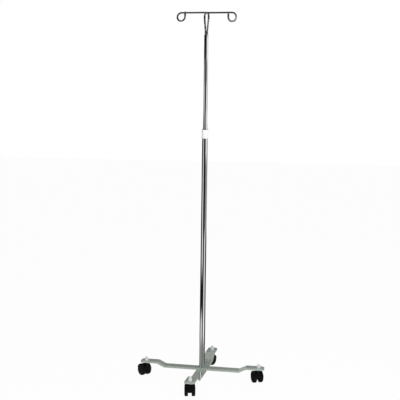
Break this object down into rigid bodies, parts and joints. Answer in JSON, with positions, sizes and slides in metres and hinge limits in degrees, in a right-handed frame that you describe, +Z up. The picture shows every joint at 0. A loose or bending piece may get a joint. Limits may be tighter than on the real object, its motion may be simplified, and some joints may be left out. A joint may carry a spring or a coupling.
{
  "type": "rolling iv pole",
  "caption": "Rolling IV pole with a jogged cross base on hooded casters, a telescoping chromed mast held by a twist-lock collar, and pigtail bag hooks on a crossbar.",
  "frame": {"origin": "on the pole's axis at floor level, midway between the caster stems", "axes": "+Z up along the pole, +X along the upper base bar and the hooks' crossbar, +Y along the lower base bar towards the back"},
  "size_m": [0.5885, 0.5658, 1.6415],
  "materials": {
    "base_paint": "glossy silver-grey enamel with a clear coat",
    "chrome": "bright chrome plate",
    "bright_zinc": "bright zinc plate",
    "plain_steel": "turned steel",
    "white_plastic": "moulded, satin gloss",
    "natural_nylon": "moulded, dull",
    "black_nylon": "moulded, fine grain",
    "tread_rubber": "smooth soft tread"
  },
  "bodies": {
    "base": {"base_bar_upper": "base_paint", "base_bar_lower": "base_paint", "centre_bolt": "bright_zinc", "centre_washer": "bright_zinc", "stem_washers": "bright_zinc", "stem_nuts": "bright_zinc", "foot_plug": "plain_steel", "lower_tube": "chrome", "collet": "natural_nylon", "caster_stem_front": "bright_zinc", "caster_stem_right": "bright_zinc", "caster_stem_back": "bright_zinc", "caster_stem_left": "bright_zinc"},
    "mast_guide": {"glide_bush": "natural_nylon"},
    "mast": {"upper_tube": "chrome", "mast_end_plug": "natural_nylon", "stop_pin": "plain_steel", "hook_rod_left": "chrome", "hook_rod_right": "chrome"},
    "collar_ring": {"collar_ring": "chrome"},
    "lock_collar": {"lock_collar": "white_plastic"},
    "caster_front": {"caster_housing_front": "black_nylon", "caster_axle_front": "plain_steel"},
    "wheel_a_front": {"wheel_tread_a_front": "tread_rubber", "wheel_centre_a_front": "black_nylon", "wheel_cap_a_front": "black_nylon"},
    "wheel_b_front": {"wheel_tread_b_front": "tread_rubber", "wheel_centre_b_front": "black_nylon", "wheel_cap_b_front": "black_nylon"},
    "caster_right": {"caster_housing_right": "black_nylon", "caster_axle_right": "plain_steel"},
    "wheel_a_right": {"wheel_tread_a_right": "tread_rubber", "wheel_centre_a_right": "black_nylon", "wheel_cap_a_right": "black_nylon"},
    "wheel_b_right": {"wheel_tread_b_right": "tread_rubber", "wheel_centre_b_right": "black_nylon", "wheel_cap_b_right": "black_nylon"},
    "caster_back": {"caster_housing_back": "black_nylon", "caster_axle_back": "plain_steel"},
    "wheel_a_back": {"wheel_tread_a_back": "tread_rubber", "wheel_centre_a_back": "black_nylon", "wheel_cap_a_back": "black_nylon"},
    "wheel_b_back": {"wheel_tread_b_back": "tread_rubber", "wheel_centre_b_back": "black_nylon", "wheel_cap_b_back": "black_nylon"},
    "caster_left": {"caster_housing_left": "black_nylon", "caster_axle_left": "plain_steel"},
    "wheel_a_left": {"wheel_tread_a_left": "tread_rubber", "wheel_centre_a_left": "black_nylon", "wheel_cap_a_left": "black_nylon"},
    "wheel_b_left": {"wheel_tread_b_left": "tread_rubber", "wheel_centre_b_left": "black_nylon", "wheel_cap_b_left": "black_nylon"}
  },
  "joints": [
    {"name": "mast_height", "type": "slide", "parent": "base", "child": "mast_guide", "axis": [0, 0, 1], "range_m": [-0.407, 0.516]},
    {"name": "mast_turn", "type": "hinge", "parent": "mast_guide", "child": "mast", "pos_m": [0, 0, 0.53], "axis": [0, 0, 1], "continuous": true},
    {"name": "ring_lift", "type": "slide", "parent": "base", "child": "collar_ring", "axis": [0, 0, 1], "range_m": [0, 0.00075]},
    {"name": "collar_twist", "type": "hinge", "parent": "collar_ring", "child": "lock_collar", "pos_m": [0, 0, 1.109], "axis": [0, 0, 1], "range_deg": [0, 180]},
    {"name": "swivel_front", "type": "hinge", "parent": "base", "child": "caster_front", "pos_m": [0, -0.2584, 0.045], "axis": [0, 0, 1], "continuous": true},
    {"name": "roll_a_front", "type": "hinge", "parent": "caster_front", "child": "wheel_a_front", "pos_m": [-0.00417, -0.24141, 0.025], "axis": [-0.9711, -0.2385, 0], "continuous": true},
    {"name": "roll_b_front", "type": "hinge", "parent": "caster_front", "child": "wheel_b_front", "pos_m": [-0.00417, -0.24141, 0.025], "axis": [-0.9711, -0.2385, 0], "continuous": true},
    {"name": "swivel_right", "type": "hinge", "parent": "base", "child": "caster_right", "pos_m": [0.2584, 0, 0.045], "axis": [0, 0, 1], "continuous": true},
    {"name": "roll_a_right", "type": "hinge", "parent": "caster_right", "child": "wheel_a_right", "pos_m": [0.25024, 0.01548, 0.025], "axis": [-0.8846, -0.4664, 0], "continuous": true},
    {"name": "roll_b_right", "type": "hinge", "parent": "caster_right", "child": "wheel_b_right", "pos_m": [0.25024, 0.01548, 0.025], "axis": [-0.8846, -0.4664, 0], "continuous": true},
    {"name": "swivel_back", "type": "hinge", "parent": "base", "child": "caster_back", "pos_m": [0, 0.2584, 0.045], "axis": [0, 0, 1], "continuous": true},
    {"name": "roll_a_back", "type": "hinge", "parent": "caster_back", "child": "wheel_a_back", "pos_m": [-0.00904, 0.24341, 0.025], "axis": [0.8563, -0.5165, 0], "continuous": true},
    {"name": "roll_b_back", "type": "hinge", "parent": "caster_back", "child": "wheel_b_back", "pos_m": [-0.00904, 0.24341, 0.025], "axis": [0.8563, -0.5165, 0], "continuous": true},
    {"name": "swivel_left", "type": "hinge", "parent": "base", "child": "caster_left", "pos_m": [-0.2584, 0, 0.045], "axis": [0, 0, 1], "continuous": true},
    {"name": "roll_a_left", "type": "hinge", "parent": "caster_left", "child": "wheel_a_left", "pos_m": [-0.27149, 0.01162, 0.025], "axis": [-0.6639, -0.7478, 0], "continuous": true},
    {"name": "roll_b_left", "type": "hinge", "parent": "caster_left", "child": "wheel_b_left", "pos_m": [-0.27149, 0.01162, 0.025], "axis": [-0.6639, -0.7478, 0], "continuous": true}
  ],
  "couplings": [
    {"joint": "collar_twist", "follows": "ring_lift", "rad_per_m": 4188.8}
  ]
}
